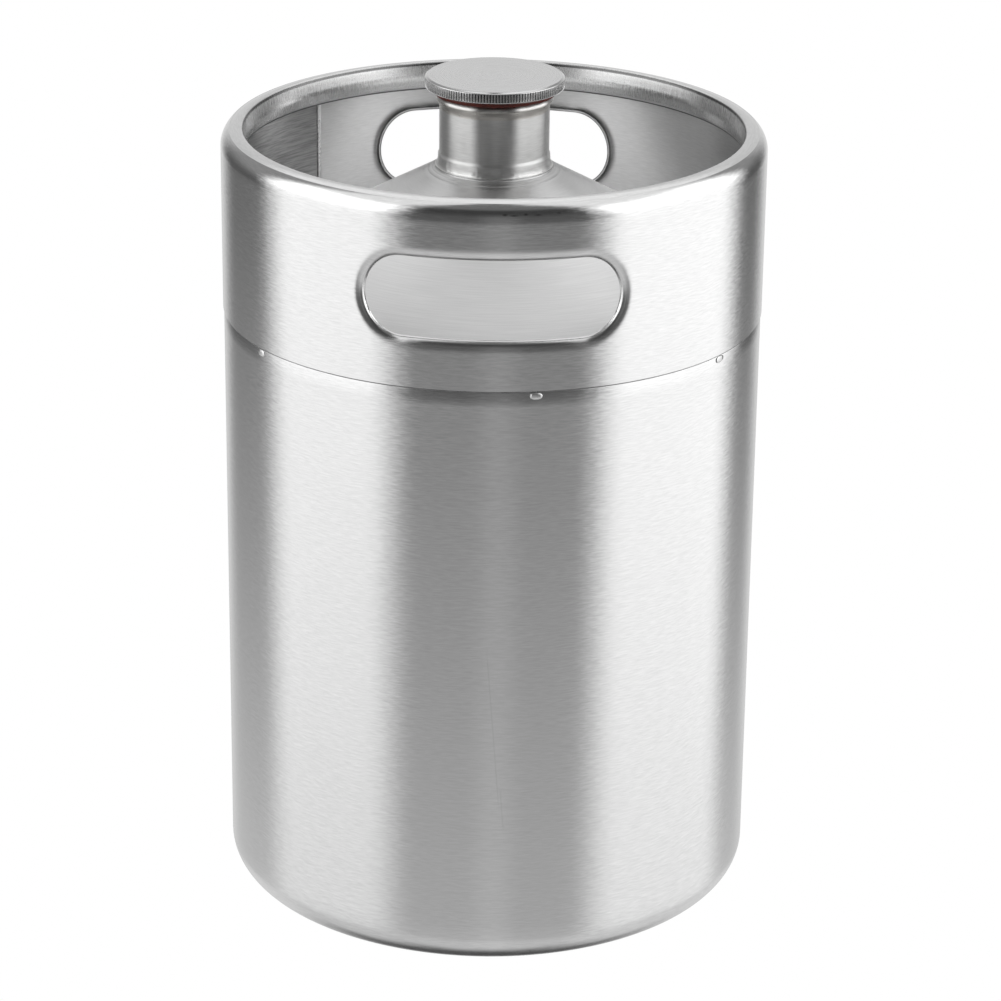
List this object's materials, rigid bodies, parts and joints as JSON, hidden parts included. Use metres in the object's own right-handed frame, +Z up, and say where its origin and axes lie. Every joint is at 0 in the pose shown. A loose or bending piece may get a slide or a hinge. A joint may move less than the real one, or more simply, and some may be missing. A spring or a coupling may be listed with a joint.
{
  "type": "mini keg",
  "caption": "Squat round stainless steel keg with a coned shoulder, a threaded neck under a knurled screw cap, and a collar with two handle slots.",
  "frame": {"origin": "on the keg's axis, on the surface that it stands on", "axes": "+Z up along the keg's axis, -Y towards the front handle slot, +X to the right seen from the front"},
  "size_m": [0.172, 0.172, 0.2692],
  "materials": {
    "can_steel": "satin, brushed round the can",
    "shoulder_steel": "satin, sanded by hand",
    "collar_steel": "satin, brushed round the collar, smoother on the rim",
    "neck_steel": "fine turned",
    "cap_steel": "fine turned top, polished chamfer, knurled band",
    "weld_steel": "bright bead, lightly brushed",
    "gasket_silicone": "matt, dark red-brown"
  },
  "bodies": {
    "keg": {"body_shell": "can_steel", "shoulder": "shoulder_steel", "shoulder_weld": "weld_steel", "neck_weld": "weld_steel", "neck": "neck_steel", "collar": "collar_steel", "collar_seam_weld": "weld_steel", "tack_weld_1": "weld_steel", "tack_weld_2": "weld_steel", "tack_weld_3": "weld_steel", "tack_weld_4": "weld_steel", "tack_weld_5": "weld_steel", "tack_weld_6": "weld_steel"},
    "seal": {"cap_gasket": "gasket_silicone"},
    "cap": {"screw_cap": "cap_steel"}
  },
  "joints": [
    {"name": "cap_lift", "type": "slide", "parent": "keg", "child": "seal", "axis": [0, 0, 1], "range_m": [0, 0.009]},
    {"name": "cap_turn", "type": "hinge", "parent": "seal", "child": "cap", "pos_m": [0, 0, 0.2633], "axis": [0, 0, 1], "range_deg": [0, 1080]}
  ],
  "couplings": [
    {"joint": "cap_lift", "follows": "cap_turn", "m_per_rad": 0.00047746}
  ]
}
